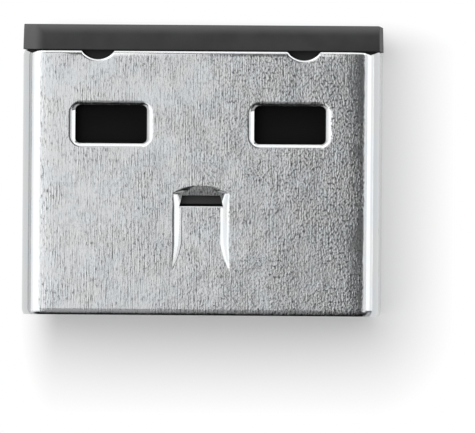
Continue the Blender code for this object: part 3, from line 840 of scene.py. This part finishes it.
def makeCore(p, s):
    lower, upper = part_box("core")
    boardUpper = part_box("circuit_board")[1]
    shellLower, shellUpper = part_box("plug_shell")
    mouthY, boreTop = shellLower.y, shellUpper.z - s["sheet"]
    gap, cut = p["gap"], p["chamfer"]
    side = [(lower.y + cut, lower.z), (upper.y, lower.z), (upper.y, upper.z), (lower.y, upper.z),
            (lower.y, lower.z + cut)]
    profile = filleted(side, p["round"])
    ends = (lower.x - past, upper.x + past)
    core = loft("core_moulding", [[Vector((x, y, z)) for y, z in profile] for x in ends])
    bore = roundedRect(upper.x - lower.x, 2 * upper.z - shellUpper.z, s["corner"] - s["sheet"])
    ends = (lower.y - past, upper.y + past)
    work = [("INTERSECT", loft("bore", [across(bore, y, shellUpper.z / 2) for y in ends]))]

    half, noseY = boardUpper.x + gap, lower.y + p["nose"]
    work.append(("DIFFERENCE", block("boardRebate", (-half, half), (noseY, upper.y + past),
                                     (lower.z - past, boardUpper.z + gap))))
    half -= p["ledge"]
    work.append(("DIFFERENCE", block("partRoom", (-half, half), (noseY + p["ledge"], upper.y - p["ledge"]),
                                     (boardUpper.z, boardUpper.z + gap + p["partRoom"]))))
    rootY = mouthY + s["tongueRoot"]
    endY = rootY + s["tongueLength"]
    slotY = endY + s["slotLength"]
    half = s["tongueWidth"] / 2 + s["tongueSpread"] + p["relief"]
    reliefZ = boreTop - s["tongueDepth"] - p["relief"]
    reliefY = slotY + s["slotBack"] + p["relief"]
    work.append(("DIFFERENCE", block("tongueRelief", (s["tongueX"] - half, s["tongueX"] + half),
                                     (rootY, reliefY), (reliefZ, shellUpper.z))))

    def lugLoop(z, inset):  # as narrow as the slot at its front and its rear
        front, rear = endY + inset + p["lugGap"] - p["lugClearance"], slotY - inset
        taper, wide = s["slotTaper"] / s["slotLength"], s["slotWidth"] / 2 - inset
        wideFront, wideRear = [wide - taper * (y - endY) for y in (front, rear)]
        outline = [(-wideFront, front), (wideFront, front), (wideRear, rear), (-wideRear, rear)]
        return flat(outline, z, s["tongueX"])

    lugZ, clearance = boreTop - p["lugDrop"], p["lugClearance"]
    lug = [lugLoop(reliefZ - past / 3, clearance)]
    for drop, inset in quarter(p["lugEdge"], 4):
        lug.append(lugLoop(lugZ - drop, clearance + inset))
    work.append(("UNION", loft("lockingLug", lug)))
    margin = p["pocketMargin"]
    pocket = roundedRect(s["window"][0] + 2 * margin, s["window"][1] + 2 * margin, margin)
    for hand in (-1, 1):
        x, y = hand * s["windowSpacing"] / 2, mouthY + s["windowFromMouth"]
        levels = (boreTop - p["pocketDepth"], shellUpper.z)
        work.append(("DIFFERENCE", loft("windowPocket", [flat(pocket, z, x, y) for z in levels])))
    carve(core, work)
    shadeCrisp(core, p["sharpAngle"])
    return core


def makeCorePlastic(p):  # painted light on its lug's top and its nose
    material, tree, shader = makePlastic("corePlastic", p["colour"], p["roughness"])
    place = millimetres(tree)
    away = node(tree, "VectorMath", place, p["lugPlace"], operation="DISTANCE").outputs["Value"]
    x, y, z = split(tree, place)
    # painted light on the lug's top, fading away from its middle
    wearAndPaintedLight = calc(tree, "MULTIPLY", ramp(tree, z, *p["lugTop"]), ramp(tree, away, *p["lugReach"]))
    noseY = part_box("core")[0].y / mm
    limits = [noseY + reach for reach in p["noseReach"]]
    wearAndPaintedLight = calc(tree, "MAXIMUM", wearAndPaintedLight, ramp(tree, y, *limits, 0.0, p["noseLight"]))
    paintedLight = blend(tree, wearAndPaintedLight, given(shader, "colour"), shade(p["paintedLight"]))
    paint(tree, shader, colour=paintedLight, specular=p["specular"])
    return material


coreMoulding = makeCore(coreTray, plugShell)
dress(coreMoulding, makeCorePlastic(coreTray), "core")
print("core made:", len(coreMoulding.data.polygons), "faces")


# Contacts: gilt plates, wiped along their length

contactSet = {
    "nodes": ("contact_vbus", "contact_data_minus", "contact_data_plus", "contact_ground"),
    "corner": 0.25 * mm,
    "edge": 0.02 * mm,
    "gilt": (0.83, 0.6, 0.24),
    "wiped": (0.66, 0.45, 0.17),
    "wipedLimits": (0.42, 0.68),
    "roughness": (0.18, 0.34),
    "grain": {"Width": 0.03, "Length": 1.2, "Pit": 0.04, "PitLength": 0.06, "PitShare": 0.3},
    "grainDepth": 0.003 * mm,
    "sharpAngle": 30,
    "cornerSteps": 10,
}


def makeContact(node, p):
    lower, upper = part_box(node)
    middle = (lower + upper) / 2
    wide, long = upper.x - lower.x, upper.y - lower.y
    loops = []
    for z, inset in [(upper.z, 0)] + [(lower.z + rise, inset) for rise, inset in quarter(p["edge"], 5)]:
        outline = roundedRect(wide - 2 * inset, long - 2 * inset, p["corner"] - inset, p["cornerSteps"])
        loops.append(flat(outline, z, middle.x, middle.y))
    contact = loft(node + "_plate", loops)
    shadeCrisp(contact, p["sharpAngle"])
    return contact


def makeGilt(p):
    material, tree, shader = newMaterial("giltContact")
    grain = use(tree, drawnGrain, **p["grain"])
    wiped = ramp(tree, grain["Streak"], *p["wipedLimits"])
    paint(tree, shader, colour=blend(tree, wiped, shade(p["gilt"]), shade(p["wiped"])), metallic=1.0,
          roughness=ramp(tree, grain["Pits"], *middling, *p["roughness"]))
    bump(tree, shader, grain["Height"], p["grainDepth"])
    return material


gilt = makeGilt(contactSet)
for name in contactSet["nodes"]:
    dress(makeContact(name, contactSet), gilt, name)
print("contacts made")


# Circuit board: dark solder mask over woven glass and copper, with bare laminate at its edges

circuitBoard = {
    "edge": 0.03 * mm,
    "mask": (0.012, 0.018, 0.016),
    "overCopper": (0.02, 0.03, 0.026),
    "laminate": (0.2, 0.17, 0.09),
    "pour": {"Brick Width": 1.7, "Row Height": 0.65, "Mortar Size": 0.05, "Scale": 1.0},  # copper, mm
    "pourShift": {"offset": 0.37, "offset_frequency": 3, "squash": 0.6, "squash_frequency": 2},
    "weave": 0.16,  # mm, between threads
    "weaveTone": (0.8, 1.15),
    "weaveRelief": 0.1,  # beside the copper's
    "maskLimits": (0.5, 0.7),
    "roughness": (0.5, 0.28),  # of the laminate and the mask
    "relief": 0.004 * mm,
}


def makeBoardFinish(p):
    material, tree, shader = newMaterial("boardLaminate")
    place = millimetres(tree)
    x, y, z = split(tree, place)
    turns = [calc(tree, "MULTIPLY", axis, 2 * math.pi / p["weave"]) for axis in (x, y)]
    weave = calc(tree, "MULTIPLY", *[calc(tree, "SINE", turn) for turn in turns])
    pours = node(tree, "TexBrick", place, **p["pourShift"])
    for name, value in p["pour"].items():
        pours.inputs[name].default_value = value
    copper = calc(tree, "SUBTRACT", 1.0, pours.outputs["Fac"])
    facing = split(tree, normals(tree))
    masked = ramp(tree, calc(tree, "ABSOLUTE", facing[2]), *p["maskLimits"])
    mask = blend(tree, copper, shade(p["mask"]), shade(p["overCopper"]))
    threads = [shade(p["laminate"], tone) for tone in p["weaveTone"]]
    glass = blend(tree, ramp(tree, weave, -1, 1), *threads)
    paint(tree, shader, colour=blend(tree, masked, glass, mask),
          roughness=ramp(tree, masked, 0, 1, *p["roughness"]))
    height = calc(tree, "ADD", calc(tree, "MULTIPLY", weave, p["weaveRelief"]), copper)
    bump(tree, shader, height, p["relief"])
    return material


dress(softened("circuit_board", circuitBoard["edge"]), makeBoardFinish(circuitBoard), "circuit_board")
print("board made")


# Parts on the board

boardParts = {
    "edge": 0.025 * mm,
    "chips": ("wifi_chip", "voltage_regulator"),
    "chipEpoxy": (0.02, 0.02, 0.022),
    "chipSkin": (0.55, 0.5, 0.03, 0.004),  # roughness, then patches, grain and depth in mm
    "can": (0.7, 0.68, 0.62),
    "canTone": (0.92, 1.05),
    "canRoughness": (0.22, 0.36),
    "canGrain": {"Width": 0.02, "Length": 0.5, "Pit": 0.03, "PitLength": 0.03, "PitShare": 0.4},
    "canGrainDepth": 0.002 * mm,
    "capacitorsAcross": ("regulator_input_capacitor", "crystal_capacitor_left", "crystal_capacitor_right",
                         "antenna_capacitor_out"),
    "capacitorsAlong": ("regulator_output_capacitor", "chip_capacitor_1", "chip_capacitor_2",
                        "chip_capacitor_3", "chip_capacitor_4", "antenna_capacitor_in"),
    "inductors": ("power_inductor", "antenna_inductor"),
    "capacitorCeramic": (0.42, 0.29, 0.17),
    "ferrite": (0.1, 0.1, 0.105),
    "antennaCeramic": (0.8, 0.79, 0.74),
    "antennaSilver": (0.6, 0.6, 0.58),
    "antennaTurns": 6,
    "rung": (0.16, 0.12),  # of a turn, either side of its middle
    "rungEnd": (0.38, 0.36),  # of the antenna's width, from its middle
    "rungTop": (0.8, 0.9),  # of its height
    "ceramicSkin": (0.5, 0.3, 0.02, 0.002),
    "tin": (0.66, 0.66, 0.67),
    "tinShare": 0.24,  # of the length, at each end
    "antennaTin": 0.12,
    "tinGloss": 0.2,  # how much smoother than the ceramic
}


def makeTinnedCeramic(name, colour, turned, share, p):
    material, tree, shader = makePlastic(name, colour, *p["ceramicSkin"])
    ends = use(tree, solderedEnds, Share=share, Turned=turned)["Mask"]
    matt, gloss = given(shader, "roughness"), calc(tree, "MULTIPLY", ends, p["tinGloss"])
    tinned = blend(tree, ends, given(shader, "colour"), shade(p["tin"]))
    paint(tree, shader, colour=tinned, roughness=calc(tree, "SUBTRACT", matt, gloss), metallic=ends)
    return material, tree, shader


def makeAntennaCeramic(p):  # fired ceramic with a printed silver meander
    ceramic, ends = p["antennaCeramic"], p["antennaTin"]
    material, tree, shader = makeTinnedCeramic("antennaCeramic", ceramic, 0.0, ends, p)
    x, y, z = split(tree, generated(tree))
    turn = calc(tree, "FRACT", calc(tree, "MULTIPLY", x, p["antennaTurns"]))
    printed = ramp(tree, z, *p["rungTop"])
    for share, limits in ((turn, p["rung"]), (y, p["rungEnd"])):
        off = calc(tree, "ABSOLUTE", calc(tree, "SUBTRACT", share, 0.5))
        printed = calc(tree, "MULTIPLY", printed, ramp(tree, off, *limits))
    silvered = blend(tree, printed, given(shader, "colour"), shade(p["antennaSilver"]))
    metallic = calc(tree, "MAXIMUM", given(shader, "metallic"), printed)
    paint(tree, shader, colour=silvered, metallic=metallic)
    return material


def makeCanMetal(p):
    material, tree, shader = newMaterial("canMetal")
    grain = use(tree, drawnGrain, **p["canGrain"])
    tone = ramp(tree, grain["Streak"], *middling)
    colours = [shade(p["can"], amount) for amount in p["canTone"]]
    paint(tree, shader, colour=blend(tree, tone, *colours), metallic=1.0,
          roughness=ramp(tree, grain["Pits"], *middling, *p["canRoughness"]))
    bump(tree, shader, grain["Height"], p["canGrainDepth"])
    return material


def makeBoardParts(p):
    ceramic, ends = p["capacitorCeramic"], p["tinShare"]
    finishes = (
        (p["chips"], makePlastic("chipEpoxy", p["chipEpoxy"], *p["chipSkin"])[0]),
        (("crystal",), makeCanMetal(p)),
        (p["capacitorsAcross"], makeTinnedCeramic("capacitorAcross", ceramic, 0.0, ends, p)[0]),
        (p["capacitorsAlong"], makeTinnedCeramic("capacitorAlong", ceramic, 1.0, ends, p)[0]),
        (p["inductors"], makeTinnedCeramic("inductorFerrite", p["ferrite"], 0.0, ends, p)[0]),
        (("chip_antenna",), makeAntennaCeramic(p)),
    )
    for names, material in finishes:
        for name in names:
            dress(softened(name, p["edge"]), material, name)


makeBoardParts(boardParts)
print("board parts made")


# Floor, lamps and sky

studio = {
    "floorColour": (0.85, 0.85, 0.85),
    "floorRoughness": 0.9,
    "floorDrop": 0.005 * mm,
    "fade": 3.4,  # mm from the object to where the floor is plain white
    "nearWhite": 0.19,  # share of plain white beside it
    "litSides": (2.6, 1.15, 1, 2.9),  # how much sooner it is white to the left, right, front and rear
    "litStart": (1.05, 0.5, 0, 0.92),  # mm inside those sides where the fade starts
    "sky": (0.16, 0.012),  # overhead and in front
    "skyTurn": (-0.2, -0.6),  # turns are limits of a direction's x or y
    "belt": (8, 30, 24),  # degrees up of a pale belt: from, to in front, and to elsewhere
    "beltSoft": (0.04, 0.06),
    "beltLight": (0.55, 0.8),  # in front and on the right, and on the left and at the rear
    "frontTurn": (-0.35, -0.1),
    "rightTurn": (0.35, 0.6),  # no belt behind the lamps on the right
    "leftTurn": (-0.35, -0.6),
    "rearTurn": (-0.1, 0.2),
    "horizon": (0.12, 0.02),
    "lamps": {  # axis that a panel leans along, two edges, span along the other axis in mm, and brightness
        "top": ("x", (-27, 105), (0.0, 105), (-11, 60), 0.98),
        "topFront": ("x", (-27, 105), (0.0, 105), (-85, -11), 0.35),
        "left": ("x", (-80.6, 63.5), (-27, 105), (-60, 120), 1.5),
        "leftLow": ("x", (-102, 47), (-80.6, 63.5), (-60, 120), 1.2),
        "rightSoft": ("x", (57, 100), (87, 88), (-40, 120), 1.0),
        "right": ("x", (88, 86), (121, 44.5), (-15, 120), 1.5),
        "rightLow": ("x", (121, 44.5), (150, 8), (-15, 120), 1.12),
        "rear": ("y", (76, 104), (122, 54.5), (-80, 80), 1.45),
    },
}


def makeFloor():
    shape = bmesh.new()
    bmesh.ops.create_grid(shape, x_segments=1, y_segments=1, size=1.0)
    floor = newObject("floor", shape)
    floor.location.z = -studio["floorDrop"]
    material, tree, shader = newMaterial("floorPaper")
    colour, roughness = shade(studio["floorColour"]), studio["floorRoughness"]
    paint(tree, shader, colour=colour, roughness=roughness, specular=0.0)
    place = split(tree, millimetres(tree))
    reach = []
    for axis in (0, 1):
        sooner, start = [studio[key][2 * axis:2 * axis + 2] for key in ("litSides", "litStart")]
        before = calc(tree, "SUBTRACT", cadBox[0][axis] / mm + start[0], place[axis])
        after = calc(tree, "SUBTRACT", place[axis], cadBox[1][axis] / mm - start[1])
        sides = [calc(tree, "MULTIPLY", far, rate) for far, rate in zip((before, after), sooner)]
        reach.append(calc(tree, "MAXIMUM", *sides, 0.0))
    reach = node(tree, "CombineXYZ", *reach).outputs[0]
    away = node(tree, "VectorMath", reach, operation="LENGTH").outputs["Value"]
    white = node(tree, "MapRange", away, 0, studio["fade"], studio["nearWhite"], 1).outputs["Result"]
    ray = node(tree, "LightPath").outputs
    seen = calc(tree, "MAXIMUM", ray["Is Camera Ray"], ray["Is Glossy Ray"], ray["Is Transmission Ray"])
    white = calc(tree, "MULTIPLY", white, seen)
    glow = node(tree, "Emission", (1, 1, 1, 1), 1.0).outputs[0]
    mixed = node(tree, "MixShader", white, shader.outputs[0], glow).outputs[0]
    tree.links.new(mixed, tree.nodes["Material Output"].inputs["Surface"])
    floor.data.materials.append(material)


def makeLamp(name, axis, start, end, span, radiance):
    def point(edge, along):
        spot = (edge[0], along, edge[1]) if axis == "x" else (along, edge[0], edge[1])
        return Vector(spot) * mm

    middle = (span[0] + span[1]) / 2
    first, second = point(start, middle), point(end, middle)
    leaning = (second - first).normalized()
    along = (point(start, span[1]) - point(start, span[0])).normalized()
    facing = leaning.cross(along)
    centre = (first + second) / 2
    if facing.dot(centre) < 0:  # the lamp shines along its own -Z
        along, facing = -along, -facing
    lamp = bpy.data.lights.new(name, "AREA")
    lamp.shape = "RECTANGLE"
    lamp.size, lamp.size_y = (second - first).length, (span[1] - span[0]) * mm
    lamp.energy = radiance * math.pi * lamp.size * lamp.size_y
    holder = bpy.data.objects.new(name, lamp)
    scene.collection.objects.link(holder)
    holder.location = centre
    holder.rotation_mode = "QUATERNION"
    holder.rotation_quaternion = Matrix((leaning, along, facing)).transposed().to_quaternion()
    holder.visible_camera = False


def makeSky():  # grey overhead, dark in front, with a white line at the horizon and a pale belt above it
    world = bpy.data.worlds.new("sky")
    scene.world = world
    world.use_nodes = True
    tree = world.node_tree
    background = tree.nodes["Background"]
    background.inputs["Color"].default_value = (1, 1, 1, 1)
    x, y, z = split(tree, generated(tree))
    over = ramp(tree, y, *studio["skyTurn"], *studio["sky"])
    low, *highs = [math.sin(math.radians(angle)) for angle in studio["belt"]]
    softLow, softHigh = studio["beltSoft"]
    behindFront = ramp(tree, y, *studio["frontTurn"])
    high = ramp(tree, y, *studio["frontTurn"], *highs)
    rightLamp = calc(tree, "MULTIPLY", ramp(tree, x, *studio["rightTurn"]), behindFront)
    light = calc(tree, "MAXIMUM", ramp(tree, x, *studio["leftTurn"]), ramp(tree, y, *studio["rearTurn"]))
    belt = calc(tree, "MULTIPLY", ramp(tree, z, high, calc(tree, "SUBTRACT", high, softHigh)),
                ramp(tree, z, low - softLow, low), ramp(tree, light, 0, 1, *studio["beltLight"]),
                calc(tree, "SUBTRACT", 1, rightLamp))
    horizon = ramp(tree, z, *studio["horizon"])
    tree.links.new(calc(tree, "MAXIMUM", over, belt, horizon), background.inputs["Strength"])


makeFloor()
for name, lampSpec in studio["lamps"].items():
    makeLamp(name, *lampSpec)
makeSky()
scene.view_settings.view_transform = "Standard"
print("studio made")
